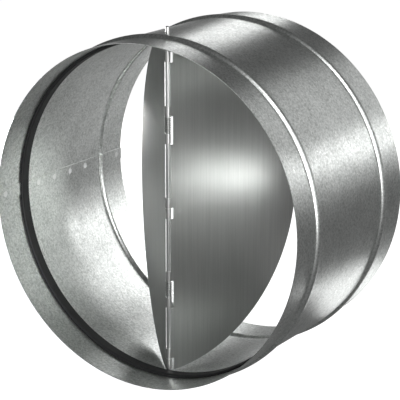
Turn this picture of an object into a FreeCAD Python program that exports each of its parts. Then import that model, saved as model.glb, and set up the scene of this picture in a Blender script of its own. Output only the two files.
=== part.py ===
import FreeCAD, Part
import math
import os
import re

import Sketcher

# Duct backdraft damper: a beaded sheet sleeve that joins two round ducts, with two sprung half-round flaps.
# The duct axis runs along +Y from the inlet end, the hinge pin stands along Z and +Z is up.
# The flaps fold downstream about the pin, and press on the rubber ring in the inlet bead when they shut.

V = FreeCAD.Vector
NEAR = 1e-6
WHOLE_TURN = 360.0
UP = V(0, 0, 1)
ALONG_DUCT = V(0, 1, 0)

# Driving dimensions, in millimetres, degrees and counts.
SIZES = {
    # Sleeve: one rolled sheet with two beads.
    "casing_diameter": 249.0,
    "casing_length": 160.0,
    "sheet_thickness": 0.6,
    "bead_station": 29.5,
    "bead_height": 2.2,
    "bead_crown_radius": 4.0,
    "bead_foot_radius": 1.5,
    # Lap seam on the inside of the sleeve, with its spot welds.
    "lap_width": 9.0,
    "weld_diameter": 4.4,
    "weld_depth": 0.2,
    "weld_end_distance": 7.0,
    "weld_start": 48.0,
    "weld_pitch": 20.4,
    "weld_count": 4,
    "end_weld_count": 2,
    # Rubber ring held in the inlet bead.
    "ring_width": 8.4,
    "ring_reach": 2.2,
    "ring_nose_radius": 1.6,
    "ring_lip_radius": 0.5,
    "ring_clearance": 0.1,
    "ring_notch_margin": 1.0,
    # Hinge pin through the sleeve.
    "pin_diameter": 3.0,
    "pin_clearance": 0.05,
    "pin_overhang": 7.0,
    "pin_tip_radius": 0.8,
    # Flaps: two identical pressings with rolled knuckles.
    "flap_thickness": 0.6,
    "flap_margin": 1.2,
    "flap_seal_gap": 0.3,
    "flap_meeting_gap": 0.8,
    "knuckle_length": 7.4,
    "knuckle_gap": 0.4,
    "knuckle_wrap": 250.0,
    "knuckle_tail": 1.2,
    "end_margin": 10.1,
    "spring_station": 60.8,
    "left_open_angle": 49.0,
    "right_open_angle": 71.5,
    # Torsion springs on the pin.
    "spring_wire": 0.8,
    "spring_clearance": 0.1,
    "spring_window": 12.4,
    "spring_window_gap": 0.8,
    "spring_end_gap": 0.3,
    "spring_turns": 9,
    "spring_leg": 22.0,
    "spring_leg_gap": 0.3,
}

# Sizes worked out from the driving ones.
FORMULAS = {
    "casing_radius": "casing_diameter / 2",
    "bore_radius": "casing_radius - sheet_thickness",
    "lap_radius": "bore_radius - sheet_thickness",
    "crown_height": "casing_radius + bead_height - bead_crown_radius",
    "key_radius": "bead_crown_radius - sheet_thickness - ring_clearance",
    "seal_face": "bead_station + ring_width / 2",
    "pin_radius": "pin_diameter / 2",
    "knuckle_bore": "pin_radius + pin_clearance",
    "knuckle_radius": "knuckle_bore + flap_thickness",
    "hinge_station": "seal_face + flap_seal_gap + knuckle_radius",
    "flap_radius": "bore_radius - flap_margin",
    "coil_radius": "pin_radius + spring_clearance + spring_wire / 2",
    "coil_height": "spring_window - 2 * spring_end_gap - spring_wire",
    "slot_depth": "coil_radius + spring_wire / 2 + spring_window_gap",
    # Each flap carries one knuckle of every pair; the other flap, turned over, carries the other one.
    "pair_half": "(knuckle_length + knuckle_gap) / 2",
    "slot_half": "knuckle_length / 2 + knuckle_gap",
    "window_half": "spring_window / 2",
    "window_pair": "(spring_window + knuckle_length) / 2",
    "end_station": "bore_radius - end_margin",
    "knuckle_top": "end_station + pair_half",
    "knuckle_upper": "spring_station + window_pair",
    "knuckle_middle": "pair_half",
    "knuckle_lower": "-(spring_station - window_pair)",
    "knuckle_bottom": "-(end_station - pair_half)",
    # A spring leg leaves the coil as its tangent, and ends behind its flap's back face.
    "leg_sink": "knuckle_bore - spring_leg_gap - spring_wire / 2",
    "leg_tip_radius": "sqrt(spring_leg ^ 2 + leg_sink ^ 2)",
    "leg_swing": "acos(coil_radius / leg_tip_radius) / 1 deg",
    "leg_touch": "leg_swing - atan(leg_sink / spring_leg) / 1 deg",
    "left_touch": "180 - leg_touch - left_open_angle",
    "right_touch": "leg_touch + right_open_angle",
    "coil_turns": "spring_turns - (right_touch - left_touch) / 360",
    "coil_pitch": "coil_height / coil_turns",
    "leg_climb": "sqrt(leg_tip_radius ^ 2 - coil_radius ^ 2) * coil_pitch / (2 * pi * coil_radius)",
}

KNUCKLES = ("knuckle_top", "knuckle_upper", "knuckle_middle", "knuckle_lower", "knuckle_bottom")

# Lower and upper edge of each slot in a flap's hinge edge. A slot clears a knuckle of the other flap,
# two of them also clear a spring, and the lowest one trims the corner.
SLOTS = {
    "slot_top": ("-knuckle_bottom - slot_half", "-knuckle_bottom + slot_half"),
    "slot_upper": ("-knuckle_lower - slot_half", "spring_station + window_half"),
    "slot_middle": ("-knuckle_middle - slot_half", "-knuckle_middle + slot_half"),
    "slot_lower": ("-knuckle_upper - slot_half", "-(spring_station - window_half)"),
    "slot_bottom": ("-casing_radius", "-knuckle_top + slot_half"),
}

doc = FreeCAD.newDocument("damper")
sheet = doc.addObject("Spreadsheet::Sheet", "sizes")


def fill_sheet():
    """Write the driving sizes, then the sizes worked out from them, each under its own name."""
    for row, (alias, entry) in enumerate((SIZES | FORMULAS).items(), start=1):
        sheet.set(f"A{row}", alias)
        sheet.set(f"B{row}", str(entry) if alias in SIZES else f"={entry}")
        sheet.setAlias(f"B{row}", alias)
    doc.recompute()


def on_sheet(formula):
    """The formula with every size read from the sheet."""

    def read(match):
        word = match.group(0)
        return f"sizes.{word}" if word in SIZES or word in FORMULAS else word

    return re.sub(r"[a-z_]+", read, formula)


def size(formula):
    """The number that a formula gives now."""
    return float(sheet.evalExpression(on_sheet(formula)))


def bind(thing, **formulas):
    """Bind properties to formulas; a double underscore stands for a dot."""
    for name, formula in formulas.items():
        thing.setExpression(name.replace("__", "."), on_sheet(formula))


def add_body(name):
    """An empty body whose label names its file."""
    body = doc.addObject("PartDesign::Body", f"{name}_body")
    body.Label = name
    return body


def origin_of(body, role):
    """The body's own origin plane or axis with this role."""
    return next(item for item in body.Origin.OriginFeatures if item.Role == role)


def add_sketch(body, name, role, raised="0"):
    """A sketch on one of the body's origin planes, raised along its normal by a formula."""
    sketch = body.newObject("Sketcher::SketchObject", name)
    sketch.AttachmentSupport = [(origin_of(body, role), "")]
    sketch.MapMode = "FlatFace"
    bind(sketch, AttachmentOffset__Base__z=raised)
    return sketch


def end_at(curve, point):
    """Which end of a curve lies at a point: 1 for its start, 2 for its end."""
    return 1 if curve.StartPoint.distanceToPoint(point) < NEAR else 2


def add_curves(sketch, curves, joints, smooth):
    """Add curves that meet at the joints in turn, tangent where a joint is smooth."""
    first = len(sketch.Geometry)
    for curve in curves:
        sketch.addGeometry(curve, False)
    for step, point in enumerate(joints):
        follower = (step + 1) % len(curves)
        ends = end_at(curves[step], point), end_at(curves[follower], point)
        kind = "Tangent" if step in smooth else "Coincident"
        sketch.addConstraint(
            Sketcher.Constraint(kind, first + step, ends[0], first + follower, ends[1])
        )
    return first


def fix(sketch, kind, curve, formula, point=None):
    """Hold a radius, or one point's distance from the sketch's origin, at a formula's value."""
    place = (curve,) if point is None else (-1, 1, curve, point)
    index = sketch.addConstraint(Sketcher.Constraint(kind, *place, size(formula)))
    sketch.setExpression(f"Constraints[{index}]", on_sheet(formula))


def short_arc(centre, one, two):
    """The shorter arc about a centre between two points."""
    start, finish = one - centre, two - centre
    if start.x * finish.y < start.y * finish.x:
        start, finish = finish, start
    angle = math.atan2(start.y, start.x)
    circle = Part.Circle(centre, UP, start.Length)
    return Part.ArcOfCircle(circle, angle, angle + start.getAngle(finish))


def add_rectangle(sketch, low_x, high_x, low_y, high_y):
    """A rectangle between four formulas."""
    left, right, bottom, top = size(low_x), size(high_x), size(low_y), size(high_y)
    corners = [V(left, bottom), V(right, bottom), V(right, top), V(left, top)]
    lines = [Part.LineSegment(corners[i], corners[(i + 1) % 4]) for i in range(4)]
    first = add_curves(sketch, lines, corners[1:] + corners[:1], smooth=())
    for side, kind in enumerate(("Horizontal", "Vertical") * 2):
        sketch.addConstraint(Sketcher.Constraint(kind, first + side))
    fix(sketch, "DistanceX", first, low_x, point=1)
    fix(sketch, "DistanceY", first, low_y, point=1)
    fix(sketch, "DistanceX", first + 2, high_x, point=1)
    fix(sketch, "DistanceY", first + 2, high_y, point=1)


def add_circle(sketch, radius, centre_x=None, centre_y=None):
    """A circle between formulas; a centre left out lies on the sketch's axis."""
    middle = V(size(centre_x) if centre_x else 0, size(centre_y) if centre_y else 0)
    circle = sketch.addGeometry(Part.Circle(middle, UP, size(radius)), False)
    fix(sketch, "Radius", circle, radius)
    for formula, kind, axis in ((centre_x, "DistanceX", -2), (centre_y, "DistanceY", -1)):
        if formula:
            fix(sketch, kind, circle, formula, point=3)
        else:
            sketch.addConstraint(Sketcher.Constraint("PointOnObject", circle, 3, axis))


def turn(body, kind, name, sketch, angle=None):
    """Turn a sketch about the duct axis: all round, or by an angle shared to both sides."""
    feature = body.newObject(f"PartDesign::{kind}", name)
    feature.Profile = sketch
    feature.ReferenceAxis = (sketch, ["V_Axis"])
    if angle is None:
        feature.Angle = WHOLE_TURN
    else:
        feature.Midplane = True
        bind(feature, Angle=angle)
    body.Tip = feature
    return feature


def push(body, kind, name, sketch, length, midplane=False, reverse=False):
    """Push a sketch into a pad or a pocket."""
    feature = body.newObject(f"PartDesign::{kind}", name)
    feature.Profile = sketch
    feature.Midplane = midplane
    feature.Reversed = reverse
    bind(feature, Length=length)
    body.Tip = feature
    return feature


def section_point(along, radius):
    """A point of a round section, drawn left of the upright duct axis."""
    return V(-radius, along)


def bead_curves(station, depth):
    """The three arcs of a bead at a depth below the outer skin, and the four points that bound them."""
    foot_centre_radius = size("casing_radius + bead_foot_radius")
    crown_centre_radius = size("crown_height")
    crown_radius = size("bead_crown_radius") - depth
    reach = size("bead_crown_radius + bead_foot_radius")
    rise = foot_centre_radius - crown_centre_radius
    spread = math.sqrt(reach**2 - rise**2)
    share = crown_radius / reach
    crown_centre = section_point(station, crown_centre_radius)
    feet, toes, knees = [], [], []
    for side in (-1, 1):
        centre = section_point(station + side * spread, foot_centre_radius)
        toe = section_point(station + side * spread, size("casing_radius") - depth)
        knee = section_point(station + side * spread * share, crown_centre_radius + rise * share)
        feet.append(short_arc(centre, toe, knee))
        toes.append(toe)
        knees.append(knee)
    crown = short_arc(crown_centre, knees[0], knees[1])
    return [feet[0], crown, feet[1]], [toes[0], knees[0], knees[1], toes[1]]


def add_wall_line(sketch, depth):
    """One long edge of the beaded sheet, at a depth below its outer skin given as a formula."""
    inset = size(depth)
    skin = size("casing_radius") - inset
    start, finish = section_point(0, skin), section_point(size("casing_length"), skin)
    stations = ("bead_station", "casing_length - bead_station")
    near_arcs, near = bead_curves(size(stations[0]), inset)
    far_arcs, far = bead_curves(size(stations[1]), inset)
    curves = [Part.LineSegment(start, near[0]), *near_arcs, Part.LineSegment(near[3], far[0])]
    curves += [*far_arcs, Part.LineSegment(far[3], finish)]
    first = add_curves(sketch, curves, near + far, smooth=range(8))
    for line in (0, 4, 8):
        sketch.addConstraint(Sketcher.Constraint("Vertical", first + line))
        fix(sketch, "DistanceX", first + line, f"-(casing_radius - {depth})", point=1)
    for crown, station in zip((2, 6), stations):
        fix(sketch, "DistanceX", first + crown, "-crown_height", point=3)
        fix(sketch, "DistanceY", first + crown, station, point=3)
        fix(sketch, "Radius", first + crown, f"bead_crown_radius - {depth}")
        for foot in (crown - 1, crown + 1):
            fix(sketch, "Radius", first + foot, f"bead_foot_radius + {depth}")
    sketch.addConstraint(Sketcher.Constraint("PointOnObject", first, 1, -1))
    fix(sketch, "DistanceY", first + 8, "casing_length", point=2)
    return first, start, finish


def draw_wall(sketch, outer, inner):
    """The closed section of the sheet between two depths below its outer skin."""
    outside, out_start, out_finish = add_wall_line(sketch, outer)
    inside, in_start, in_finish = add_wall_line(sketch, inner)
    rims = ((out_start, in_start, 0, 1), (out_finish, in_finish, 8, 2))
    for out_point, in_point, line, end in rims:
        rim = sketch.addGeometry(Part.LineSegment(out_point, in_point), False)
        sketch.addConstraint(Sketcher.Constraint("Coincident", outside + line, end, rim, 1))
        sketch.addConstraint(Sketcher.Constraint("Coincident", inside + line, end, rim, 2))


def make_casing():
    """The sleeve: beaded sheet, inner lap with spot welds, and the two holes for the pin."""
    body = add_body("casing")
    wall = add_sketch(body, "wall_section", "XY_Plane")
    draw_wall(wall, "0", "sheet_thickness")
    turn(body, "Revolution", "sleeve", wall)
    lap = add_sketch(body, "lap_section", "XY_Plane")
    draw_wall(lap, "0.5 * sheet_thickness", "2 * sheet_thickness")
    turn(body, "Revolution", "lap_seam", lap, angle="lap_width / casing_radius * 180 / pi")
    end_spacing = "casing_length - 2 * weld_end_distance"
    cut_welds(body, "seam_weld", "weld_start", "weld_pitch * (weld_count - 1)", "weld_count")
    cut_welds(body, "end_weld", "weld_end_distance", end_spacing, "end_weld_count")
    hole = add_sketch(body, "pin_hole", "XY_Plane")
    add_circle(hole, "knuckle_bore", centre_y="hinge_station")
    push(body, "Pocket", "pin_holes", hole, "2 * casing_diameter", midplane=True)
    return body


def cut_welds(body, name, start, spread, count):
    """A row of shallow round weld marks down the middle of the lap."""
    mark = add_sketch(body, f"{name}_outline", "YZ_Plane", raised="-(lap_radius - weld_depth)")
    add_circle(mark, "weld_diameter / 2", centre_x=start)
    first = push(body, "Pocket", name, mark, "2 * weld_depth", midplane=True)
    row = body.newObject("PartDesign::LinearPattern", f"{name}_row")
    row.Originals = [first]
    row.Direction = (origin_of(body, "Y_Axis"), [""])
    bind(row, Length=spread, Occurrences=count)
    body.Tip = row


def make_seal_ring():
    """The rubber ring: a key in the inlet bead, and a lip that stands in from the bore."""
    body = add_body("seal_ring")
    station, half = size("bead_station"), size("ring_width / 2")
    skin, crest = size("bore_radius - ring_clearance"), size("bore_radius - ring_reach")
    nose, lip = size("ring_nose_radius"), size("ring_lip_radius")
    key_half = math.sqrt(size("key_radius") ** 2 - (skin - size("crown_height")) ** 2)
    key_up, key_down = (section_point(station + side * key_half, skin) for side in (-1, 1))
    back_down, back_up = (section_point(station + side * half, skin) for side in (1, -1))
    lip_out = section_point(station + half, crest + lip)
    lip_in = section_point(station + half - lip, crest)
    nose_in = section_point(station - half + nose, crest)
    nose_out = section_point(station - half, crest + nose)
    curves = [
        short_arc(section_point(station, size("crown_height")), key_up, key_down),
        Part.LineSegment(key_down, back_down),
        Part.LineSegment(back_down, lip_out),
        short_arc(section_point(station + half - lip, crest + lip), lip_out, lip_in),
        Part.LineSegment(lip_in, nose_in),
        short_arc(section_point(station - half + nose, crest + nose), nose_in, nose_out),
        Part.LineSegment(nose_out, back_up),
        Part.LineSegment(back_up, key_up),
    ]
    joints = [key_down, back_down, lip_out, lip_in, nose_in, nose_out, back_up, key_up]
    sketch = add_sketch(body, "ring_section", "XY_Plane")
    add_curves(sketch, curves, joints, smooth=(2, 3, 4, 5))
    for line, kind in ((1, "Vertical"), (2, "Horizontal"), (4, "Vertical"), (6, "Horizontal")):
        sketch.addConstraint(Sketcher.Constraint(kind, line))
    sketch.addConstraint(Sketcher.Constraint("Vertical", 7))
    fix(sketch, "DistanceX", 0, "-crown_height", point=3)
    fix(sketch, "DistanceY", 0, "bead_station", point=3)
    fix(sketch, "Radius", 0, "key_radius")
    fix(sketch, "Radius", 3, "ring_lip_radius")
    fix(sketch, "Radius", 5, "ring_nose_radius")
    fix(sketch, "DistanceX", 1, "-(bore_radius - ring_clearance)", point=1)
    fix(sketch, "DistanceX", 7, "-(bore_radius - ring_clearance)", point=1)
    fix(sketch, "DistanceY", 2, "seal_face", point=1)
    fix(sketch, "DistanceY", 6, "bead_station - ring_width / 2", point=1)
    fix(sketch, "DistanceX", 4, "-(bore_radius - ring_reach)", point=1)
    turn(body, "Revolution", "ring", sketch)
    notch = add_sketch(body, "notch_section", "XY_Plane")
    outside, floor = "-(casing_radius + bead_height)", "-(lap_radius - ring_clearance)"
    add_rectangle(notch, outside, floor, "bead_station - ring_width", "bead_station + ring_width")
    notch_angle = "(lap_width + 2 * ring_notch_margin) / casing_radius * 180 / pi"
    turn(body, "Groove", "lap_notch", notch, angle=notch_angle)
    return body


def make_pin():
    """The hinge pin: a plain rod through the sleeve with rounded tips."""
    body = add_body("hinge_pin")
    sketch = add_sketch(body, "pin_section", "XY_Plane")
    add_circle(sketch, "pin_radius")
    rod = push(body, "Pad", "rod", sketch, "casing_diameter + 2 * pin_overhang", midplane=True)
    doc.recompute()
    edges = enumerate(rod.Shape.Edges, start=1)
    rims = [f"Edge{index}" for index, edge in edges if isinstance(edge.Curve, Part.Circle)]
    tips = body.newObject("PartDesign::Fillet", "tips")
    tips.Base = (rod, rims)
    bind(tips, Radius="pin_tip_radius")
    body.Tip = tips
    bind(body, Placement__Base__y="hinge_station")
    return body


def draw_half_disc(sketch):
    """A flap's outline: a half disc with its straight edge just past the hinge axis."""
    edge, rim_radius = size("flap_meeting_gap / 2"), size("flap_radius")
    reach = math.sqrt(rim_radius**2 - edge**2)
    low, high = V(edge, -reach), V(edge, reach)
    lean = math.asin(reach / rim_radius)
    rim = Part.ArcOfCircle(Part.Circle(V(0, 0, 0), UP, rim_radius), -lean, lean)
    add_curves(sketch, [rim, Part.LineSegment(high, low)], [high, low], smooth=())
    sketch.addConstraint(Sketcher.Constraint("Coincident", 0, 3, -1, 1))
    sketch.addConstraint(Sketcher.Constraint("Vertical", 1))
    fix(sketch, "Radius", 0, "flap_radius")
    fix(sketch, "DistanceX", 1, "flap_meeting_gap / 2", point=1)


def draw_curl(sketch):
    """A knuckle's section: a flat tail, then a curl about the pin that stops short of closing."""
    outer, inner, tail = size("knuckle_radius"), size("knuckle_bore"), size("knuckle_tail")
    tail_angle = math.radians(270)
    free_angle = tail_angle - math.radians(size("knuckle_wrap"))
    free_out = V(outer * math.cos(free_angle), outer * math.sin(free_angle))
    free_in = free_out * (inner / outer)
    low_out, low_in = V(0, -outer), V(0, -inner)
    tail_out, tail_in = V(tail, -outer), V(tail, -inner)
    curves = [
        Part.LineSegment(tail_out, low_out),
        Part.ArcOfCircle(Part.Circle(V(0, 0, 0), UP, outer), free_angle, tail_angle),
        Part.LineSegment(free_out, free_in),
        Part.ArcOfCircle(Part.Circle(V(0, 0, 0), UP, inner), free_angle, tail_angle),
        Part.LineSegment(low_in, tail_in),
        Part.LineSegment(tail_in, tail_out),
    ]
    joints = [low_out, free_out, free_in, low_in, tail_in, tail_out]
    add_curves(sketch, curves, joints, smooth=(0, 3))
    for arc, radius in ((1, "knuckle_radius"), (3, "knuckle_bore")):
        sketch.addConstraint(Sketcher.Constraint("Coincident", arc, 3, -1, 1))
        fix(sketch, "Radius", arc, radius)
    sketch.addConstraint(Sketcher.Constraint("Horizontal", 0))
    sketch.addConstraint(Sketcher.Constraint("Horizontal", 4))
    sketch.addConstraint(Sketcher.Constraint("Vertical", 5))
    fix(sketch, "DistanceX", 5, "knuckle_tail", point=1)
    fix(sketch, "DistanceX", 2, "knuckle_radius * cos(270 - knuckle_wrap)", point=1)
    fix(sketch, "DistanceX", 2, "knuckle_bore * cos(270 - knuckle_wrap)", point=2)


def make_flap(name, placement):
    """One flap about a hinge at the body's origin, drawn shut: half disc, slots and rolled knuckles."""
    body = add_body(name)
    outline = add_sketch(body, f"{name}_outline", "XZ_Plane", raised="knuckle_radius")
    draw_half_disc(outline)
    push(body, "Pad", f"{name}_plate", outline, "flap_thickness", reverse=True)
    slots = add_sketch(body, f"{name}_slot_outline", "XZ_Plane", raised="knuckle_radius")
    for low, high in SLOTS.values():
        add_rectangle(slots, "-slot_depth", "slot_depth", low, high)
    push(body, "Pocket", f"{name}_slots", slots, "4 * flap_thickness", midplane=True)
    for station in KNUCKLES:
        curl = add_sketch(body, f"{name}_{station}_curl", "XY_Plane", raised=station)
        draw_curl(curl)
        push(body, "Pad", f"{name}_{station}", curl, "knuckle_length", midplane=True)
    body.Placement = placement
    return body


def add_path_line(name, start_radius, start_angle, start_height, end_radius, end_angle, end_height):
    """A straight stretch of wire between two points given by radius, angle and height formulas."""
    line = doc.addObject("Part::Line", name)
    ends = ((start_radius, start_angle, start_height), (end_radius, end_angle, end_height))
    for end, (radius, angle, height) in enumerate(ends, start=1):
        bind(line, **{f"X{end}": f"({radius}) * cos({angle})"})
        bind(line, **{f"Y{end}": f"({radius}) * sin({angle})"})
        bind(line, **{f"Z{end}": height})
    return line


def make_spring_path():
    """The springs' centre line, and the wire's section at its lower end."""
    low, high = "-coil_height / 2", "coil_height / 2"
    tip_low, tip_high = "-coil_height / 2 - leg_climb", "coil_height / 2 + leg_climb"
    left_leg = add_path_line(
        "left_leg", "leg_tip_radius", "left_touch + leg_swing", tip_low, "coil_radius", "left_touch", low
    )
    right_leg = add_path_line(
        "right_leg", "coil_radius", "right_touch", high, "leg_tip_radius", "right_touch - leg_swing", tip_high
    )
    coil = doc.addObject("Part::Helix", "coil")
    coil.LocalCoord = "Left-handed"
    coil.Placement.Rotation = FreeCAD.Rotation(UP, size("left_touch"))
    bind(coil, Pitch="coil_pitch", Height="coil_height", Radius="coil_radius", Placement__Base__z=low)
    path = doc.addObject("Part::Compound", "spring_path")
    path.Links = [left_leg, coil, right_leg]
    doc.recompute()
    tip, bend = (vertex.Point for vertex in left_leg.Shape.Vertexes)
    section = doc.addObject("Part::Circle", "spring_section")
    section.Placement = FreeCAD.Placement(tip, FreeCAD.Rotation(UP, bend - tip))
    bind(section, Radius="spring_wire / 2")
    return path, section


def make_spring(name, path, section, station):
    """A torsion spring round the pin, with a straight leg behind each flap."""
    spring = doc.addObject("Part::Sweep", f"{name}_wire")
    spring.Label = name
    spring.Sections = [section]
    spring.Spine = (path, [f"Edge{index}" for index in range(1, len(path.Shape.Edges) + 1)])
    spring.Solid = True
    bind(spring, Placement__Base__y="hinge_station", Placement__Base__z=station)
    return spring


def hinge_place(opening, turned_over=False):
    """A flap's place on the pin at an opening angle, turned over for the flap on the other side."""
    swing = FreeCAD.Rotation(UP, opening)
    if turned_over:
        swing = FreeCAD.Rotation(UP, -opening).multiply(FreeCAD.Rotation(ALONG_DUCT, 180))
    return FreeCAD.Placement(V(0, size("hinge_station"), 0), swing)


def check(pieces):
    """Stop if any object failed or any piece has no sound shape."""
    for item in doc.Objects:
        if {"Invalid", "Error"} & set(item.State):
            raise RuntimeError(f"{item.Name} failed: {item.State}")
    for piece in pieces:
        shape = piece.Shape
        if shape.isNull() or not shape.isValid() or len(shape.Solids) != 1:
            raise RuntimeError(f"{piece.Label} has no sound solid")
        print(piece.Label, round(shape.Volume, 1), "mm3,", len(shape.Faces), "faces")


def build():
    """Build, check and write every piece."""
    fill_sheet()
    pieces = [make_casing(), make_seal_ring(), make_pin()]
    pieces.append(make_flap("right_flap", hinge_place(size("right_open_angle"))))
    pieces.append(make_flap("left_flap", hinge_place(size("left_open_angle"), turned_over=True)))
    path, section = make_spring_path()
    pieces.append(make_spring("upper_spring", path, section, "spring_station"))
    pieces.append(make_spring("lower_spring", path, section, "-spring_station"))
    doc.recompute()
    check(pieces)
    os.makedirs("parts", exist_ok=True)
    for piece in pieces:
        piece.Shape.exportStep(os.path.join("parts", f"{piece.Label}.step"))


build()
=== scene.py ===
"""Looks for the duct backdraft damper.

The damper is a beaded sheet sleeve with a rubber seat, and two sprung half-round flaps on a pin.
The duct axis runs along +Y from the inlet end, the pin stands along Z, and sizes are in metres.
"""

import logging
import math
from dataclasses import dataclass, field
from enum import Enum

import bmesh
import bpy
from mathutils import Matrix, Vector

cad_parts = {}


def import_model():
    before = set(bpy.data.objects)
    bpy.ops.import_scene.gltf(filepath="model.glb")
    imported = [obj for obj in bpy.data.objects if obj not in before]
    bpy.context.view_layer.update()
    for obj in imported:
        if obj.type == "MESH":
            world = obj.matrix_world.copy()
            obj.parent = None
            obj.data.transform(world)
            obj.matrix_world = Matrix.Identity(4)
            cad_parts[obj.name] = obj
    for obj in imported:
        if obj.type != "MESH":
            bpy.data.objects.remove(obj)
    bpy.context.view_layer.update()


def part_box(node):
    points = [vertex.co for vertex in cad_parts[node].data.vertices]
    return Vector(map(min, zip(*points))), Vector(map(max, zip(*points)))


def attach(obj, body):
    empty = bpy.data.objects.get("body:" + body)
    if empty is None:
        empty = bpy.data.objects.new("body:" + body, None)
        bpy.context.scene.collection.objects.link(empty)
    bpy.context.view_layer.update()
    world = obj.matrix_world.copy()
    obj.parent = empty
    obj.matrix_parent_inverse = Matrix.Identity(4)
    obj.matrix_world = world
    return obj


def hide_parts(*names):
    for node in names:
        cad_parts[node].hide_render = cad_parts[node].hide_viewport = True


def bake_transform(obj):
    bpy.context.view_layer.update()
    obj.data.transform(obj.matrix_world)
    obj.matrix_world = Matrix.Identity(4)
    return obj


log = logging.getLogger("damper")

RGB = tuple[float, float, float]
Span = tuple[float, float]

MM = 0.001
DUCT = Vector((0, 1, 0))
UP = Vector((0, 0, 1))
MERGE = 1e-7  # Vertices nearer to each other than this become one.
NEAR = 1e-6  # A length below this counts as none.

SHARP_ANGLE = 35.0  # Edges above this angle, in degrees, part the smooth shading.
ROUNDING_FACES = 2  # Faces across each rounded edge.

# The Mix node's sockets have the same names for each data type, so they are found by their place.
MIX_SHARE = 0
MIX_VALUES = (2, 3)
MIX_VALUE_RESULT = 0
MIX_COLOURS = (6, 7)
MIX_COLOUR_RESULT = 2


class Facing(Enum):
    """The side of the pin that a flap closes, with its sense of opening about +Z."""

    RIGHT = 1
    LEFT = -1

    @property
    def side(self) -> str:
        """The side's name."""
        return self.name.lower()

    @property
    def body(self) -> str:
        """The moving body's name."""
        return f"{self.side}_flap"


@dataclass
class Pen:
    """Draws a section as a chain of edges in a bmesh, and turns it into a surface.

    Sections of round pieces are drawn in the plane x = 0, with the duct axis along y and the
    radius along z.
    """

    mesh: bmesh.types.BMesh = field(default_factory=bmesh.new)
    tip: bmesh.types.BMVert | None = None
    first: bmesh.types.BMVert | None = None

    def start(self, point: Vector) -> None:
        """Put the pen down at a point."""
        self.tip = self.first = self.mesh.verts.new(point)

    def line(self, *points: Vector) -> None:
        """Draw straight edges through points.

        Args:
            points: The points, in the order in which the pen meets them.
        """
        for point in points:
            grown = bmesh.ops.extrude_vert_indiv(self.mesh, verts=[self.tip])
            self.tip = grown["verts"][0]
            self.tip.co = point

    def arc(self, centre: Vector, axis: Vector, angle: float, steps: int) -> None:
        """Draw an arc from the pen's place.

        Args:
            centre: The arc's centre.
            axis: The axis that it turns about, by the right-hand rule.
            angle: How far it turns, in radians.
            steps: How many edges it has.
        """
        turned = bmesh.ops.spin(
            self.mesh, geom=[self.tip], cent=centre, axis=axis, angle=angle, steps=steps
        )
        self.tip = turned["geom_last"][0]

    def close(self) -> None:
        """Join the pen's place to the first point."""
        self.mesh.edges.new((self.tip, self.first))

    def sweep_round(self, axis: Vector, steps: int) -> None:
        """Turn the whole section once about an axis through the origin.

        Args:
            axis: The axis.
            steps: How many faces go round.
        """
        bmesh.ops.spin(
            self.mesh, geom=self.mesh.verts[:] + self.mesh.edges[:], cent=(0, 0, 0), axis=axis,
            angle=math.tau, steps=steps, use_merge=True,
        )
        merge(self.mesh)


def section(radius: float, along: float) -> Vector:
    """A point of a round section, by its radius and its distance along the duct."""
    return Vector((0, along, radius))


def edges_of(parts: list) -> list[bmesh.types.BMEdge]:
    """The edges among the parts that an operator returned."""
    return [part for part in parts if isinstance(part, bmesh.types.BMEdge)]


def verts_of(parts: list) -> list[bmesh.types.BMVert]:
    """The vertices among the parts that an operator returned."""
    return [part for part in parts if isinstance(part, bmesh.types.BMVert)]


def merge(mesh: bmesh.types.BMesh) -> None:
    """Join vertices that coincide, and turn every face outward."""
    bmesh.ops.remove_doubles(mesh, verts=mesh.verts[:], dist=MERGE)
    bmesh.ops.recalc_face_normals(mesh, faces=mesh.faces[:])


def soften(mesh: bmesh.types.BMesh, width: float, least: float) -> None:
    """Round every edge that is sharper than an angle.

    Args:
        mesh: The mesh to change.
        width: The rounding's width.
        least: The least angle between two faces, in degrees, that counts as an edge.
    """
    sharp = [
        edge for edge in mesh.edges
        if len(edge.link_faces) == 2 and edge.calc_face_angle(0) > math.radians(least)
    ]
    bmesh.ops.bevel(
        mesh, geom=sharp, offset=width, offset_type="OFFSET", affect="EDGES",
        segments=ROUNDING_FACES, profile=0.5, material=-1, clamp_overlap=True,
    )


def make_piece(
    mesh: bmesh.types.BMesh, name: str, *materials: bpy.types.Material
) -> bpy.types.Object:
    """Turn a finished bmesh into a smooth-shaded piece at the origin.

    Args:
        mesh: The finished mesh, which is used up.
        name: The piece's name.
        materials: Its finishes, in slot order.

    Returns:
        The new object.
    """
    for face in mesh.faces:
        face.smooth = True
    data = bpy.data.meshes.new(name)
    mesh.to_mesh(data)
    mesh.free()
    data.set_sharp_from_angle(angle=math.radians(SHARP_ANGLE))
    piece = bpy.data.objects.new(name, data)
    bpy.context.scene.collection.objects.link(piece)
    flat = piece.modifiers.new("flat_faces_stay_flat", "WEIGHTED_NORMAL")
    flat.keep_sharp = True
    for material in materials:
        data.materials.append(material)
    log.info("%s: %d faces", name, len(data.polygons))
    return piece


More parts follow.
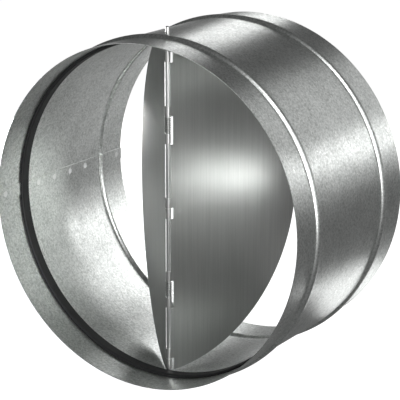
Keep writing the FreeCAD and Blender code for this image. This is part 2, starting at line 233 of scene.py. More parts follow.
@dataclass
class Nodes:
    """A material's node tree, with the few kinds of node that the finishes share."""

    name: str
    tree: bpy.types.NodeTree = field(init=False)
    shader: bpy.types.ShaderNode = field(init=False)
    material: bpy.types.Material = field(init=False)

    def __post_init__(self) -> None:
        """Make the material with its shader and output."""
        self.material = bpy.data.materials.new(self.name)
        self.material.use_nodes = True
        self.tree = self.material.node_tree
        self.shader = self.tree.nodes["Principled BSDF"]

    def link(self, source: bpy.types.NodeSocket, target: bpy.types.NodeSocket) -> None:
        """Join two sockets."""
        self.tree.links.new(source, target)

    def place(self, across: float, along: float | None = None) -> bpy.types.NodeSocket:
        """Object coordinates, stretched to a pattern's size.

        Args:
            across: Pattern cells per metre along X and Y.
            along: Cells per metre along Z, where they differ.

        Returns:
            The stretched coordinates.
        """
        where = self.tree.nodes.new("ShaderNodeTexCoord")
        mapping = self.tree.nodes.new("ShaderNodeMapping")
        scale = (across, across, across if along is None else along)
        mapping.inputs["Scale"].default_value = scale
        self.link(where.outputs["Object"], mapping.inputs["Vector"])
        return mapping.outputs["Vector"]

    def noise(
        self, vector: bpy.types.NodeSocket, detail: float, rough: float = 0.5
    ) -> bpy.types.NodeSocket:
        """Fractal noise.

        Args:
            vector: Where it is read.
            detail: How many octaves it has.
            rough: How strong the finer octaves are.

        Returns:
            The noise's value, from 0 to 1.
        """
        texture = self.tree.nodes.new("ShaderNodeTexNoise")
        texture.inputs["Scale"].default_value = 1.0
        texture.inputs["Detail"].default_value = detail
        texture.inputs["Roughness"].default_value = rough
        self.link(vector, texture.inputs["Vector"])
        return texture.outputs["Fac"]

    def cells(self, vector: bpy.types.NodeSocket) -> bpy.types.NodeSocket:
        """A random grey per crystal-like cell.

        Args:
            vector: Where it is read.

        Returns:
            Each cell's grey, from 0 to 1.
        """
        texture = self.tree.nodes.new("ShaderNodeTexVoronoi")
        texture.inputs["Scale"].default_value = 1.0
        split = self.tree.nodes.new("ShaderNodeSeparateColor")
        self.link(vector, texture.inputs["Vector"])
        self.link(texture.outputs["Color"], split.inputs["Color"])
        return split.outputs["Red"]

    def stretch(
        self, value: bpy.types.NodeSocket, source: Span = (0.0, 1.0), target: Span = (0.0, 1.0)
    ) -> bpy.types.NodeSocket:
        """Stretch a value from one range to another.

        Args:
            value: The value.
            source: The range that it comes from, beyond which it is cut off.
            target: The range that it goes to.

        Returns:
            The stretched value.
        """
        spread = self.tree.nodes.new("ShaderNodeMapRange")
        ends = ("From Min", "From Max", "To Min", "To Max")
        for end, place in zip(ends, source + target):
            spread.inputs[end].default_value = place
        self.link(value, spread.inputs["Value"])
        return spread.outputs["Result"]

    def mix(
        self, share: float, one: bpy.types.NodeSocket, other: bpy.types.NodeSocket
    ) -> bpy.types.NodeSocket:
        """Mix two values.

        Args:
            share: How much of the other one shows.
            one: The first value.
            other: The other value.

        Returns:
            The mixed value.
        """
        blend = self.tree.nodes.new("ShaderNodeMix")
        blend.data_type = "FLOAT"
        blend.inputs[MIX_SHARE].default_value = share
        for place, value in zip(MIX_VALUES, (one, other)):
            self.link(value, blend.inputs[place])
        return blend.outputs[MIX_VALUE_RESULT]

    def paint(self, value: bpy.types.NodeSocket, dark: RGB, light: RGB) -> None:
        """Colour the surface by a value.

        Args:
            value: The value, from 0 to 1.
            dark: The colour at 0.
            light: The colour at 1.
        """
        blend = self.tree.nodes.new("ShaderNodeMix")
        blend.data_type = "RGBA"
        for place, colour in zip(MIX_COLOURS, (dark, light)):
            blend.inputs[place].default_value = (*colour, 1)
        self.link(value, blend.inputs[MIX_SHARE])
        self.link(blend.outputs[MIX_COLOUR_RESULT], self.shader.inputs["Base Color"])

    def roughen(self, value: bpy.types.NodeSocket, rough: Span) -> None:
        """Give the surface its roughness, which goes from one end to the other with a value."""
        self.link(self.stretch(value, target=rough), self.shader.inputs["Roughness"])

    def emboss(self, height: bpy.types.NodeSocket, depth: float, strength: float) -> None:
        """Give the surface a fine relief.

        Args:
            height: The relief, from 0 to 1.
            depth: How deep it is.
            strength: How much of it shows.
        """
        relief = self.tree.nodes.new("ShaderNodeBump")
        relief.inputs["Strength"].default_value = strength
        relief.inputs["Distance"].default_value = depth
        self.link(height, relief.inputs["Height"])
        self.link(relief.outputs["Normal"], self.shader.inputs["Normal"])

    def glow(self, base: float, strength: float | bpy.types.NodeSocket) -> None:
        """Make a grey surface that shines white.

        Args:
            base: The surface's own grey.
            strength: How strongly it shines.
        """
        self.shader.inputs["Base Color"].default_value = (base, base, base, 1)
        self.shader.inputs["Emission Color"].default_value = (1, 1, 1, 1)
        if isinstance(strength, float):
            self.shader.inputs["Emission Strength"].default_value = strength
        else:
            self.link(strength, self.shader.inputs["Emission Strength"])

    def set(self, **values: float) -> None:
        """Set sockets of the shader, with an underscore for each space."""
        for name, value in values.items():
            self.shader.inputs[name.replace("_", " ")].default_value = value


@dataclass(frozen=True)
class ZincSheet:
    """Galvanised sheet: grey zinc crystals with fine grain and faint cloudy patches."""

    dark: RGB = (0.38, 0.40, 0.385)
    light: RGB = (0.92, 0.94, 0.925)
    rough: Span = (0.36, 0.27)
    grain: float = 650.0
    cloud: float = 60.0
    relief: float = 0.05 * MM

    def make(self) -> bpy.types.Material:
        """Make the finish.

        Returns:
            The material.
        """
        nodes = Nodes("zinc_sheet")
        grain = nodes.noise(nodes.place(self.grain), detail=2.0, rough=0.7)
        grain = nodes.stretch(grain, source=(0.32, 0.68))
        cloud = nodes.noise(nodes.place(self.cloud), detail=4.0, rough=0.6)
        cloud = nodes.stretch(cloud, source=(0.3, 0.7))
        crystals = nodes.cells(nodes.place(self.grain))
        speckle = nodes.mix(0.35, grain, crystals)
        nodes.paint(nodes.mix(0.2, speckle, cloud), self.dark, self.light)
        nodes.roughen(speckle, self.rough)
        nodes.emboss(grain, self.relief, strength=0.5)
        nodes.set(Metallic=1.0)
        return nodes.material


@dataclass(frozen=True)
class MillAluminium:
    """Mill-finish aluminium sheet: smoother, with fine streaks along the rolling direction."""

    dark: RGB = (0.46, 0.465, 0.455)
    light: RGB = (0.66, 0.66, 0.65)
    rough: Span = (0.36, 0.42)
    streak: Span = (700.0, 14.0)
    smudge: Span = (26.0, 15.0)
    relief: float = 0.015 * MM

    def make(self) -> bpy.types.Material:
        """Make the finish.

        Returns:
            The material.
        """
        nodes = Nodes("mill_aluminium")
        streaks = nodes.noise(nodes.place(*self.streak), detail=3.0, rough=0.6)
        streaks = nodes.stretch(streaks, source=(0.3, 0.7))
        smudges = nodes.noise(nodes.place(*self.smudge), detail=4.0)
        tone = nodes.mix(0.6, streaks, smudges)
        nodes.paint(tone, self.dark, self.light)
        nodes.roughen(tone, self.rough)
        nodes.emboss(streaks, self.relief, strength=0.2)
        nodes.set(Metallic=1.0)
        return nodes.material


@dataclass(frozen=True)
class CutEdge:
    """Bare metal on cut and rolled edges, painted brighter than the faces so that they show as
    thin highlight lines, and duller where heat has marked it.
    """

    name: str = "cut_edge_and_painted_highlight"
    # Partly the bare metal's own colour and partly a painted highlight: brighter than the faces so
    # that edges read as bright lines.
    colour: RGB = (0.86, 0.87, 0.86)
    smoothest: float = 0.28
    metal: float = 0.75
    marks: Span = (1500.0, 300.0)
    shade: float = 0.85
    rough_range: float = 0.14

    def make(self) -> bpy.types.Material:
        """Make the finish.

        Returns:
            The material.
        """
        nodes = Nodes(self.name)
        marks = nodes.noise(nodes.place(*self.marks), detail=2.0)
        nodes.paint(marks, tuple(self.shade * part for part in self.colour), self.colour)
        nodes.roughen(marks, (self.smoothest, self.smoothest + self.rough_range))
        nodes.set(Metallic=self.metal)
        return nodes.material


@dataclass(frozen=True)
class SealRubber:
    """Black moulded rubber, slightly dusty."""

    dark: RGB = (0.006, 0.0065, 0.007)
    light: RGB = (0.015, 0.0155, 0.016)
    rough: Span = (0.45, 0.60)
    dust: float = 160.0
    skin: float = 2600.0
    relief: float = 0.03 * MM

    def make(self) -> bpy.types.Material:
        """Make the finish.

        Returns:
            The material.
        """
        nodes = Nodes("seal_rubber")
        dust = nodes.noise(nodes.place(self.dust), detail=6.0, rough=0.7)
        skin = nodes.noise(nodes.place(self.skin), detail=2.0)
        nodes.paint(dust, self.dark, self.light)
        nodes.roughen(dust, self.rough)
        nodes.emboss(skin, self.relief, strength=0.3)
        nodes.set(Specular_IOR_Level=0.35)
        return nodes.material


@dataclass(frozen=True)
class BrightSteel:
    """Drawn bright steel, with fine marks along the wire or rod."""

    name: str = "bright_steel"
    dark: RGB = (0.50, 0.51, 0.50)
    light: RGB = (0.74, 0.75, 0.74)
    smoothest: float = 0.26
    marks: Span = (2400.0, 120.0)
    rough_range: float = 0.12
    relief: float = 0.02 * MM

    def make(self) -> bpy.types.Material:
        """Make the finish.

        Returns:
            The material.
        """
        nodes = Nodes(self.name)
        marks = nodes.noise(nodes.place(*self.marks), detail=3.0)
        nodes.paint(marks, self.dark, self.light)
        nodes.roughen(marks, (self.smoothest, self.smoothest + self.rough_range))
        nodes.emboss(marks, self.relief, strength=0.15)
        nodes.set(Metallic=1.0)
        return nodes.material


@dataclass
class Sleeve:
    """The beaded sheet sleeve with its inner lap seam and spot welds."""

    radius: float
    length: float
    sheet: float = 0.6 * MM
    bead_from_end: float = 29.5 * MM
    bead_height: float = 2.2 * MM
    crown_radius: float = 4.0 * MM
    foot_radius: float = 1.5 * MM
    foot_steps: int = 7
    rim_rounding: float = 0.12 * MM
    rim_angle: float = 60.0
    lap_width: float = 9.0 * MM
    lap_steps: int = 8
    weld_radius: float = 2.2 * MM
    weld_relief: float = 0.12 * MM
    weld_steps: int = 28
    # Rings meant for a weld's dish: width in weld radii, and rise in weld reliefs. The insets
    # add nothing to a lone disc, so only the rises act and the weld stays flat.
    weld_rings: tuple[Span, ...] = ((0.25, 1.0), (0.2, 0.2), (0.3, -1.0))
    end_weld: float = 7.0 * MM
    first_weld: float = 48.0 * MM
    weld_pitch: float = 20.4 * MM
    weld_count: int = 4
    steps: int = 288

    @property
    def bore(self) -> float:
        """The sleeve's inner radius."""
        return self.radius - self.sheet

    @property
    def crown_height(self) -> float:
        """The radius at which each bead's crown has its centre."""
        return self.radius + self.bead_height - self.crown_radius

    def trace(self, pen: Pen, depth: float, forward: bool) -> None:
        """Draw one long edge of the sheet's section, from the pen's place to the other end.

        Args:
            pen: The pen, at the start of the edge.
            depth: How far the edge lies below the outer skin.
            forward: Whether it runs along the duct or back.
        """
        sense = 1 if forward else -1
        reach = self.crown_radius + self.foot_radius
        rise = self.radius + self.foot_radius - self.crown_height
        lean = math.acos(rise / reach)
        spread = reach * math.sin(lean)
        beads = (self.bead_from_end, self.length - self.bead_from_end)
        side = Vector((sense, 0, 0))
        for bead in beads if forward else reversed(beads):
            foot = section(self.radius + self.foot_radius, bead - sense * spread)
            crown = section(self.crown_height, bead)
            pen.line(section(self.radius - depth, foot.y))
            pen.arc(foot, side, lean, self.foot_steps)
            pen.arc(crown, side, -2 * lean, 2 * self.foot_steps)
            foot.y = bead + sense * spread
            pen.arc(foot, side, lean, self.foot_steps)
        pen.line(section(self.radius - depth, self.length if forward else 0))

    def draw(self, outer: float, inner: float) -> Pen:
        """Draw the closed section of a sheet that follows the beads.

        Args:
            outer: How far the sheet's outer face lies below the outer skin.
            inner: How far its inner face lies below the outer skin.

        Returns:
            The pen with the section.
        """
        pen = Pen()
        pen.start(section(self.radius - outer, 0))
        self.trace(pen, outer, True)
        pen.line(section(self.radius - inner, self.length))
        self.trace(pen, inner, False)
        pen.close()
        return pen

    def build_wall(self, zinc: bpy.types.Material) -> bpy.types.Object:
        """The sleeve's wall.

        Args:
            zinc: The sheet's finish.

        Returns:
            The wall's piece.
        """
        pen = self.draw(0, self.sheet)
        pen.sweep_round(DUCT, self.steps)
        soften(pen.mesh, self.rim_rounding, self.rim_angle)
        return make_piece(pen.mesh, "sleeve_wall", zinc)

    def build_lap(self, zinc: bpy.types.Material, mark_and_highlight: bpy.types.Material) -> bpy.types.Object:
        """The strip where the sheet laps inside itself, at the left.

        Args:
            zinc: The sheet's finish.
            mark_and_highlight: The cut upper edge's finish.

        Returns:
            The lap's piece.
        """
        angle = self.lap_width / self.bore
        mesh = self.draw(self.sheet / 2, 2 * self.sheet).mesh
        outline = mesh.edges[:]
        to_left = Matrix.Rotation(-math.pi / 2 - angle / 2, 3, DUCT)
        bmesh.ops.rotate(mesh, verts=mesh.verts[:], cent=(0, 0, 0), matrix=to_left)
        swept = bmesh.ops.spin(
            mesh, geom=mesh.verts[:] + outline, cent=(0, 0, 0), axis=DUCT, angle=angle,
            steps=self.lap_steps,
        )
        bmesh.ops.contextual_create(mesh, geom=outline)
        upper = bmesh.ops.contextual_create(mesh, geom=edges_of(swept["geom_last"]))["faces"]
        # The cut upper edge takes the near-white heat-mark finish: partly bare cut steel, and
        # partly a painted highlight line along the lap.
        for cap in upper:
            cap.material_index = 1
        bmesh.ops.recalc_face_normals(mesh, faces=mesh.faces[:])
        soften(mesh, self.rim_rounding, self.rim_angle)
        return make_piece(mesh, "lap_seam", zinc, mark_and_highlight)

    def build_welds(self, mark_and_highlight: bpy.types.Material) -> bpy.types.Object:
        """The spot welds down the lap, as flat discs just off its face.

        Args:
            mark_and_highlight: The marked metal's finish.

        Returns:
            The welds' piece.
        """
        stations = [self.first_weld + self.weld_pitch * place for place in range(self.weld_count)]
        stations += [self.end_weld, self.length - self.end_weld]
        upright = Matrix.Rotation(math.pi / 2, 4, "Y")
        mesh = bmesh.new()
        for station in stations:
            place = Matrix.Translation((self.sheet - self.bore, station, 0))
            disc = bmesh.ops.create_circle(
                mesh, cap_ends=True, radius=self.weld_radius, segments=self.weld_steps,
                matrix=place @ upright,
            )
            crown = list({face for vert in disc["verts"] for face in vert.link_faces})
            for width, lift in self.weld_rings:
                bmesh.ops.inset_region(mesh, faces=crown, thickness=width * self.weld_radius)
                raised = list({vert for face in crown for vert in face.verts})
                shift = Vector((lift * self.weld_relief, 0, 0))
                bmesh.ops.translate(mesh, verts=raised, vec=shift)
        bmesh.ops.recalc_face_normals(mesh, faces=mesh.faces[:])
        return make_piece(mesh, "spot_welds", mark_and_highlight)

    def build(self, zinc: bpy.types.Material, mark_and_highlight: bpy.types.Material) -> None:
        """Build the sleeve's pieces in place of its solid.

        Args:
            zinc: The sheet's finish.
            mark_and_highlight: The finish of the lap's upper edge and the welds.
        """
        for piece in (self.build_wall(zinc), self.build_lap(zinc, mark_and_highlight), self.build_welds(mark_and_highlight)):
            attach(piece, "casing")
            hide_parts("casing")


@dataclass
class SealRing:
    """The rubber ring: a key in the inlet bead and a lip that stands in from the bore."""

    sleeve: Sleeve
    width: float = 8.4 * MM
    reach: float = 2.2 * MM
    nose_radius: float = 1.6 * MM
    nose_steps: int = 8
    lip_radius: float = 0.5 * MM
    lip_steps: int = 6
    clearance: float = 0.1 * MM
    key_steps: int = 14

    def build(self, rubber: bpy.types.Material) -> None:
        """Build the ring in place of its solid.

        Args:
            rubber: The ring's finish.
        """
        sleeve = self.sleeve
        front = sleeve.bead_from_end - self.width / 2
        rear = sleeve.bead_from_end + self.width / 2
        skin, crest = sleeve.bore - self.clearance, sleeve.bore - self.reach
        key = sleeve.crown_radius - sleeve.sheet - self.clearance
        lean = math.acos((skin - sleeve.crown_height) / key)
        side = Vector((1, 0, 0))
        crown = section(sleeve.crown_height, sleeve.bead_from_end)
        lip = section(crest + self.lip_radius, rear - self.lip_radius)
        nose = section(crest + self.nose_radius, front + self.nose_radius)
        pen = Pen()
        pen.start(section(skin, front))
        pen.line(section(skin, sleeve.bead_from_end - key * math.sin(lean)))
        pen.arc(crown, side, -2 * lean, self.key_steps)
        pen.line(section(skin, rear), section(crest + self.lip_radius, rear))
        pen.arc(lip, side, -math.pi / 2, self.lip_steps)
        pen.line(section(crest, front + self.nose_radius))
        pen.arc(nose, side, -math.pi / 2, self.nose_steps)
        pen.close()
        pen.sweep_round(DUCT, sleeve.steps)
        piece = make_piece(pen.mesh, "rubber_ring", rubber)
        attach(piece, "casing")
        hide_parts("seal_ring")


@dataclass
class HingePin:
    """The hinge pin: a plain rod with rounded tips."""

    hinge: Vector
    low: float
    high: float
    radius: float = 1.5 * MM
    tip_radius: float = 0.8 * MM
    tip_steps: int = 5
    steps: int = 40

    def build(self, steel: bpy.types.Material) -> None:
        """Build the pin in place of its solid.

        Args:
            steel: The pin's finish.
        """
        side = Vector((0, -1, 0))
        flat = self.radius - self.tip_radius
        low_round, high_round = self.low + self.tip_radius, self.high - self.tip_radius
        pen = Pen()
        pen.start(Vector((0, 0, self.low)))
        pen.line(Vector((flat, 0, self.low)))
        pen.arc(Vector((flat, 0, low_round)), side, math.pi / 2, self.tip_steps)
        pen.line(Vector((self.radius, 0, high_round)))
        pen.arc(Vector((flat, 0, high_round)), side, math.pi / 2, self.tip_steps)
        pen.line(Vector((0, 0, self.high)))
        pen.sweep_round(UP, self.steps)
        bmesh.ops.translate(pen.mesh, verts=pen.mesh.verts[:], vec=self.hinge)
        piece = make_piece(pen.mesh, "pin_rod", steel)
        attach(piece, "casing")
        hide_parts("hinge_pin")


@dataclass
class Hinge:
    """Where the knuckles, slots and springs stand along the hinge line.

    Heights are those of the right flap. The left one is the same pressing turned over.
    """

    bore: float
    line: Vector
    end_margin: float = 10.1 * MM
    spring_station: float = 60.8 * MM
    knuckle_length: float = 7.4 * MM
    knuckle_gap: float = 0.4 * MM
    spring_window: float = 12.4 * MM
    slot_depth: float = 3.2 * MM

    @property
    def knuckles(self) -> list[float]:
        """Place the knuckles.

        Returns:
            The middle height of each knuckle, from the bottom up.
        """
        half = (self.knuckle_length + self.knuckle_gap) / 2
        pair = (self.spring_window + self.knuckle_length) / 2
        end, station = self.bore - self.end_margin, self.spring_station
        return [half - end, pair - station, half, station + pair, end + half]

    @property
    def slots(self) -> list[Span]:
        """Place the slots, each round a knuckle of the other flap and two of them round a spring.

        Returns:
            The lower and upper edge of each slot, from the bottom up.
        """
        reach = self.knuckle_length / 2 + self.knuckle_gap
        half_window = self.spring_window / 2
        windows = {1: -self.spring_station, 3: self.spring_station}
        found = []
        for index, knuckle in enumerate(reversed(self.knuckles)):
            low, high = -knuckle - reach, -knuckle + reach
            if index in windows:
                low = min(low, windows[index] - half_window)
                high = max(high, windows[index] + half_window)
            found.append((low, high))
        return found


@dataclass
class Flap:
    """A half-round flap with rolled knuckles and slots in its hinge edge."""

    hinge: Hinge
    facing: Facing
    open_angle: float
    rim_margin: float = 1.2 * MM
    rim_steps: int = 144
    sheet: float = 0.6 * MM
    barrel_bore: float = 1.55 * MM
    meeting_gap: float = 0.8 * MM
    wrap: float = 250.0
    wrap_steps: int = 22
    edge_rounding: float = 0.09 * MM
    edge_angle: float = 50.0

    @property
    def radius(self) -> float:
        """The half disc's radius."""
        return self.hinge.bore - self.rim_margin

    def place(self) -> Matrix:
        """Place the flap in the frame, from shut and lying along +X at the origin.

        Returns:
            The move, with the flap open at its stored angle.
        """
        swing = Matrix.Rotation(math.radians(self.open_angle) * self.facing.value, 4, "Z")
        if self.facing is Facing.LEFT:
            swing = swing @ Matrix.Rotation(math.pi, 4, "Y")
        return Matrix.Translation(self.hinge.line) @ swing

    def point(self, across: float, height: float) -> Vector:
        """A point of the flap's upstream face."""
        return Vector((across, -self.barrel_bore - self.sheet, height))

    def draw_outline(self, pen: Pen) -> None:
        """Draw the half disc with its slots, and with a tab to the hinge line at each knuckle.

        Args:
            pen: The pen, which draws in the plane of the flap's upstream face.
        """
        edge, floor = self.meeting_gap / 2, self.hinge.slot_depth
        half = self.hinge.knuckle_length / 2
        marks = [(low, high, floor) for low, high in self.hinge.slots]
        marks += [(height - half, height + half, 0.0) for height in self.hinge.knuckles]
        marks.sort()
        foot = -math.sqrt(self.radius**2 - floor**2)
        top = math.sqrt(self.radius**2 - edge**2)
        pen.start(self.point(floor, foot))
        pen.line(self.point(floor, marks[0][1]))
        for low, high, depth in marks[1:]:
            if low - pen.tip.co.z > NEAR:
                pen.line(self.point(edge, pen.tip.co.z), self.point(edge, low))
            pen.line(self.point(depth, low), self.point(depth, high))
        pen.line(self.point(edge, pen.tip.co.z), self.point(edge, top))
        sweep = math.atan2(top, edge) - math.atan2(foot, floor)
        pen.arc(self.point(0, 0), DUCT, sweep, self.rim_steps)

    def build(self, sheet: bpy.types.Material, edge: bpy.types.Material) -> None:
        """Build the flap in place of its solid.

        Args:
            sheet: The finish of its faces.
            edge: The finish of its cut edges and knuckles.
        """
        pen = Pen()
        self.draw_outline(pen)
        mesh = pen.mesh
        bmesh.ops.remove_doubles(mesh, verts=mesh.verts[:], dist=MERGE)
        plate = bmesh.ops.contextual_create(mesh, geom=mesh.edges[:])["faces"]
        back = bmesh.ops.extrude_face_region(mesh, geom=plate)["geom"]
        bmesh.ops.translate(mesh, verts=verts_of(back), vec=(0, self.sheet, 0))
        bmesh.ops.recalc_face_normals(mesh, faces=mesh.faces[:])
        # Faces across the sheet's thickness take the cut edge's finish, which is painted bright as
        # a highlight line along them.
        for face in mesh.faces:
            face.material_index = int(abs(face.normal.y) < 0.5)
        tabs = [face for face in mesh.faces if all(abs(vert.co.x) < NEAR for vert in face.verts)]
        for tab in tabs:
            bmesh.ops.spin(
                mesh, geom=[tab, *tab.edges, *tab.verts], cent=(0, 0, 0), axis=UP,
                angle=-math.radians(self.wrap), steps=self.wrap_steps,
            )
        merge(mesh)
        soften(mesh, self.edge_rounding, self.edge_angle)
        bmesh.ops.transform(mesh, matrix=self.place(), verts=mesh.verts[:])
        piece = make_piece(mesh, f"{self.facing.side}_leaf", sheet, edge)
        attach(piece, self.facing.body)
        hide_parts(self.facing.body)


@dataclass
class TorsionSpring:
    """A torsion spring on the pin, in two halves, each with its leg behind one flap at the flap's
    stored angle.
    """

    name: str
    hinge: Hinge
    station: float
    flaps: dict[Facing, Flap]
    wire_radius: float = 0.4 * MM
    wire_faces: int = 12
    coil_radius: float = 2.0 * MM
    end_gap: float = 0.3 * MM
    turns: int = 9
    half_steps: int = 81
    leg: float = 22.0 * MM
    leg_gap: float = 0.3 * MM
    # The spans of a leg, as shares of its length.
    leg_spans: tuple[float, ...] = (0.02, 0.96, 0.02)

    @property
    def height(self) -> float:
        """The coil's height, between the middles of its two end turns."""
        return self.hinge.spring_window - 2 * self.end_gap - 2 * self.wire_radius

    @property
    def sink(self) -> float:
        """How far a leg's tip stands behind the hinge line, square to its flap."""
        return self.flaps[Facing.RIGHT].barrel_bore - self.leg_gap - self.wire_radius

    @property
    def tip_radius(self) -> float:
        """How far a leg's tip is from the pin's axis."""
        return math.hypot(self.leg, self.sink)

    def touch(self, facing: Facing) -> float:
        """Find where a flap's leg leaves the coil as its tangent.

        Args:
            facing: The flap.

        Returns:
            The angle about +Z from +X, in radians.
        """
        lead = math.acos(self.coil_radius / self.tip_radius) - math.atan2(self.sink, self.leg)
        turn = lead + math.radians(self.flaps[facing].open_angle)
        return turn if facing is Facing.RIGHT else math.pi - turn

    def wind(self, mesh: bmesh.types.BMesh, sense: int, sweep: float) -> list[bmesh.types.BMEdge]:
        """Wind half of the coil, from its middle to one end.

        Args:
            mesh: The mesh to draw in.
            sense: 1 for the upper half and -1 for the lower.
            sweep: How far the whole coil turns, in radians.

        Returns:
            The edges of the wire's open end.
        """
        ring = bmesh.ops.create_circle(mesh, radius=self.wire_radius, segments=self.wire_faces)
        pitch = math.atan2(self.height / sweep, self.coil_radius)
        middle = Matrix.Rotation(self.touch(Facing.LEFT) - sweep / 2, 4, "Z")
        place = middle @ Matrix.Translation((self.coil_radius, 0, 0))
        tilt = Matrix.Rotation(math.pi / 2 - pitch, 4, "X")
        bmesh.ops.transform(mesh, verts=ring["verts"], matrix=place @ tilt)
        wound = bmesh.ops.spin(
            mesh, geom=mesh.verts[:] + mesh.edges[:], cent=(0, 0, 0), axis=UP,
            angle=-sense * sweep / 2, dvec=(0, 0, sense * self.height / 2 / self.half_steps),
            steps=self.half_steps,
        )
        return edges_of(wound["geom_last"])

    def draw_leg(
        self, mesh: bmesh.types.BMesh, rim: list[bmesh.types.BMEdge], along: Vector
    ) -> None:
        """Draw a leg from the coil's end to its tip.

        Args:
            mesh: The mesh to draw in.
            rim: The edges of the wire's open end.
            along: The way from the coil's end to the leg's tip.
        """
        for share in self.leg_spans:
            grown = bmesh.ops.extrude_edge_only(mesh, edges=rim)["geom"]
            bmesh.ops.translate(mesh, verts=verts_of(grown), vec=along * share)
            rim = [edge for edge in edges_of(grown) if len(edge.link_faces) == 1]
        bmesh.ops.contextual_create(mesh, geom=rim)

    def build_half(self, facing: Facing, steel: bpy.types.Material) -> None:
        """Build the half whose leg lies behind one flap: the lower half goes left, the upper half
        right.

        Args:
            facing: The flap that the half's leg lies behind.
            steel: The wire's finish.
        """
        sense, height = facing.value, self.height
        sweep = math.tau * self.turns - (self.touch(Facing.RIGHT) - self.touch(Facing.LEFT))
        mesh = bmesh.new()
        rim = self.wind(mesh, sense, sweep)
        end = self.touch(facing)
        run = math.sqrt(self.tip_radius**2 - self.coil_radius**2)
        climb = height / sweep / self.coil_radius
        along = Vector((math.sin(end), -math.cos(end), climb)) * run * sense
        self.draw_leg(mesh, rim, along)
        start = self.hinge.line + UP * self.station
        bmesh.ops.translate(mesh, verts=mesh.verts[:], vec=start)
        bmesh.ops.recalc_face_normals(mesh, faces=mesh.faces[:])
        piece = make_piece(mesh, f"{self.name}_{facing.side}_half", steel)
        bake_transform(piece)
        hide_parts(self.name)

    def build(self, steel: bpy.types.Material) -> None:
        """Build both halves in place of the spring's solid."""
        for facing in Facing:
            self.build_half(facing, steel)


@dataclass(frozen=True)
class Lamp:
    """A square soft lamp by its direction from the object, its distance, width and glow."""

    name: str
    toward: tuple[float, float, float]
    distance: float
    width: float
    glow: float


@dataclass(frozen=True)
class Card:
    """A grey card on the floor by the range that it covers, and the grey that it shows."""

    name: str
    low_x: float
    high_x: float
    low_y: float
    high_y: float
    grey: float


LAMPS = (
    Lamp("right_band", (0.54, 0.83, 0.16), 1.10, 0.19, 3.4),
    Lamp("top_band", (-0.37, 0.83, 0.42), 1.10, 0.20, 2.7),
    Lamp("upper_fill", (0.36, 0.83, 0.43), 1.10, 0.50, 0.6),
    Lamp("outlet_right", (0.26, 0.96, 0.05), 1.00, 0.24, 0.7),
    Lamp("outlet", (-0.08, 0.99, 0.08), 0.26, 0.07, 3.2),
    Lamp("outlet_left", (-0.33, 0.94, 0.07), 0.27, 0.07, 1.6),
    Lamp("left", (-0.80, 0.58, -0.13), 0.90, 0.28, 38.0),
    Lamp("inlet_left", (-0.34, -0.94, 0.09), 1.00, 0.30, 1.0),
    Lamp("front_right", (0.76, -0.62, 0.17), 1.15, 0.50, 13.0),
    Lamp("front_top", (0.58, -0.33, 0.74), 1.15, 0.50, 4.0),
    Lamp("right_side", (0.93, -0.02, 0.36), 1.00, 0.50, 1.5),
)

# The under card, where it reaches under the object, and the middle card just behind the object are
# painted shadow. In reflections they stand for the floor's shade there.
CARDS = (
    Card("under_card", -1.6, 0.2, -1.4, 0.17, 0.12),
    Card("left_card", -1.4, -0.14, 0.17, 1.4, 0.3),
    Card("middle_shadow_card", -0.14, 0.07, 0.17, 0.29, 0.08),
    Card("back_card", -0.14, 0.2, 0.29, 0.7, 0.42),
    Card("right_card", 0.15, 2.5, -0.05, 2.5, 0.12),
    Card("front_card", 0.2, 1.6, -1.4, -0.05, 0.14),
)


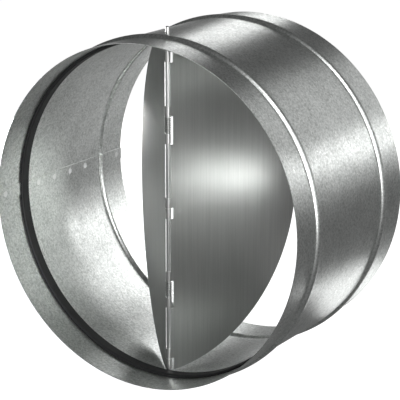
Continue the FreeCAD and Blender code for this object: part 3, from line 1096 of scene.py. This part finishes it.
@dataclass
class Studio:
    """The camera at the photograph's angle, a pale floor, grey cards and soft lamps.

    The camera's target and distance are in sleeve radii.
    """

    radius: float
    floor_height: float
    azimuth: float = 31.3
    elevation: float = 15.02
    target: tuple[float, float, float] = (0.086, 0.5, 0.012)
    distance: float = 10.414
    focal_px: float = 1789.18
    image_px: int = 400
    sensor_width: float = 36.0
    floor_half: float = 12.0
    floor_grey: float = 0.85
    floor_glow: float = 0.93
    card_lift: float = 0.5 * MM
    card_grey: float = 0.02
    room_light: float = 0.8
    horizon: float = 0.40
    zenith: float = 0.10
    # Places between the horizon (0) and the zenith (1), by their direction's Z, with their greys.
    sky: tuple[Span, ...] = ((0.06, 0.12), (0.35, 0.09), (0.7, 0.10))

    def toward_camera(self) -> Vector:
        """Find the way from the object to the camera, with azimuth 0 at the inlet.

        Returns:
            The direction, of length 1.
        """
        turn, rise = math.radians(self.azimuth), math.radians(self.elevation)
        level = math.cos(rise)
        return Vector((math.sin(turn) * level, -math.cos(turn) * level, math.sin(rise)))

    def add_camera(self) -> None:
        """Set the camera where the photograph's rims, beads and flaps line up."""
        data = bpy.data.cameras.new("camera")
        data.sensor_width = self.sensor_width
        data.lens = self.focal_px / self.image_px * data.sensor_width
        camera = bpy.data.objects.new("camera", data)
        back = self.toward_camera()
        camera.location = (Vector(self.target) + back * self.distance) * self.radius
        camera.rotation_euler = (-back).to_track_quat("-Z", "Y").to_euler()
        bpy.context.scene.collection.objects.link(camera)
        bpy.context.scene.camera = camera

    def add_lamp(self, lamp: Lamp) -> None:
        """Add a soft lamp, which the camera doesn't see, aimed at the middle of the object.

        Args:
            lamp: Its place, width and glow, where a glow of 1 is a white face.
        """
        middle = Vector((0, self.radius / 2, 0))
        back = Vector(lamp.toward).normalized()
        data = bpy.data.lights.new(lamp.name, "AREA")
        data.shape = "SQUARE"
        data.size = lamp.width
        data.energy = lamp.glow * math.pi * lamp.width**2
        source = bpy.data.objects.new(lamp.name, data)
        source.location = middle + back * lamp.distance
        source.rotation_euler = back.to_track_quat("Z", "Y").to_euler()
        source.visible_camera = False
        bpy.context.scene.collection.objects.link(source)

    def seen_strength(
        self, tree: bpy.types.NodeTree, seen: float, other: float
    ) -> bpy.types.NodeSocket:
        """One strength for rays from the camera, mirrors and glass, and another for the rest.

        Args:
            tree: The node tree that it is for.
            seen: The strength that the camera and reflections show.
            other: The strength that lights everything else.

        Returns:
            The strength.
        """
        paths = tree.nodes.new("ShaderNodeLightPath")
        shown = paths.outputs["Is Camera Ray"]
        for ray in ("Is Glossy Ray", "Is Transmission Ray"):
            either = tree.nodes.new("ShaderNodeMath")
            either.operation = "MAXIMUM"
            tree.links.new(shown, either.inputs[0])
            tree.links.new(paths.outputs[ray], either.inputs[1])
            shown = either.outputs[0]
        choice = tree.nodes.new("ShaderNodeMix")
        choice.data_type = "FLOAT"
        for place, strength in zip(MIX_VALUES, (other, seen)):
            choice.inputs[place].default_value = strength
        tree.links.new(shown, choice.inputs[MIX_SHARE])
        return choice.outputs[MIX_VALUE_RESULT]

    def add_floor(self) -> None:
        """Lay the pale floor, which keeps the object's shadow."""
        mesh = bmesh.new()
        bmesh.ops.create_grid(mesh, x_segments=1, y_segments=1, size=self.floor_half)
        bmesh.ops.translate(mesh, verts=mesh.verts[:], vec=UP * self.floor_height)
        nodes = Nodes("pale_floor")
        nodes.glow(self.floor_grey, self.seen_strength(nodes.tree, self.floor_glow, 0.0))
        nodes.set(Roughness=0.9, Specular_IOR_Level=0.1)
        make_piece(mesh, "floor", nodes.material)

    def add_cards(self) -> None:
        """Lay grey cards on the floor, which only reflections show, as for bright metal; two are
        painted shadow.
        """
        for card in CARDS:
            mesh = bmesh.new()
            bmesh.ops.create_grid(mesh, x_segments=1, y_segments=1, size=0.5)
            size = Vector((card.high_x - card.low_x, card.high_y - card.low_y, 1))
            bmesh.ops.scale(mesh, verts=mesh.verts[:], vec=size)
            middle = Vector((card.low_x + card.high_x, card.low_y + card.high_y, 0)) / 2
            middle.z = self.floor_height + self.card_lift
            bmesh.ops.translate(mesh, verts=mesh.verts[:], vec=middle)
            nodes = Nodes(card.name)
            nodes.glow(self.card_grey, card.grey)
            nodes.set(Roughness=1.0, Specular_IOR_Level=0.0)
            piece = make_piece(mesh, card.name, nodes.material)
            piece.visible_camera = piece.visible_diffuse = piece.visible_shadow = False

    def add_world(self) -> None:
        """Make the surroundings: pale grey at the horizon, and darker above."""
        world = bpy.data.worlds.new("studio")
        world.use_nodes = True
        tree = world.node_tree
        where = tree.nodes.new("ShaderNodeTexCoord")
        split = tree.nodes.new("ShaderNodeSeparateXYZ")
        bands = tree.nodes.new("ShaderNodeValToRGB")
        tree.links.new(where.outputs["Generated"], split.inputs["Vector"])
        tree.links.new(split.outputs["Z"], bands.inputs["Fac"])
        stops = bands.color_ramp.elements
        stops[0].position, stops[0].color = 0.0, (*[self.horizon] * 3, 1)
        stops[1].position, stops[1].color = 1.0, (*[self.zenith] * 3, 1)
        for height, grey in self.sky:
            stops.new(height).color = (grey, grey, grey, 1)
        background = tree.nodes["Background"]
        tree.links.new(bands.outputs["Color"], background.inputs["Color"])
        strength = self.seen_strength(tree, 1.0, self.room_light)
        tree.links.new(strength, background.inputs["Strength"])
        bpy.context.scene.world = world

    def build(self) -> None:
        """Set up the camera, floor, cards, surroundings and lamps."""
        self.add_camera()
        self.add_floor()
        self.add_cards()
        self.add_world()
        for lamp in LAMPS:
            self.add_lamp(lamp)
        bpy.context.scene.view_settings.view_transform = "Standard"


def main() -> None:
    """Build every sub-assembly in order."""
    logging.basicConfig(level=logging.INFO, format="%(message)s")
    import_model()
    casing_low, casing_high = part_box("casing")
    pin_low, pin_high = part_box("hinge_pin")

    zinc, aluminium, rubber = ZincSheet().make(), MillAluminium().make(), SealRubber().make()
    # The cut-edge finish is painted brighter than the faces, as highlight lines along the flaps'
    # edges and knuckles.
    edge, steel = CutEdge().make(), BrightSteel().make()
    # This finish is the welds' heat mark. On the lap's upper cut edge, its near-white colour is
    # also a painted highlight line.
    mark_and_highlight = CutEdge("heat_mark_and_edge_highlight", (0.92, 0.93, 0.92), smoothest=0.45, metal=0.3).make()
    wire = BrightSteel("spring_wire", (0.34, 0.35, 0.34), (0.58, 0.59, 0.58), smoothest=0.3).make()

    radius, length = casing_high.z - Sleeve.bead_height, casing_high.y - casing_low.y
    sleeve = Sleeve(radius, length)
    sleeve.build(zinc, mark_and_highlight)
    SealRing(sleeve).build(rubber)
    hinge_line = Vector((0, (pin_low.y + pin_high.y) / 2, 0))
    HingePin(hinge_line, pin_low.z, pin_high.z).build(steel)
    hinge = Hinge(sleeve.bore, hinge_line)
    angles = {Facing.RIGHT: 71.5, Facing.LEFT: 49.0}
    flaps = {facing: Flap(hinge, facing, angle) for facing, angle in angles.items()}
    for flap in flaps.values():
        flap.build(aluminium, edge)
    stations = {"upper_spring": hinge.spring_station, "lower_spring": -hinge.spring_station}
    for name, station in stations.items():
        TorsionSpring(name, hinge, station, flaps).build(wire)

    Studio(sleeve.radius, pin_low.z).build()


if __name__ == "__main__":
    main()
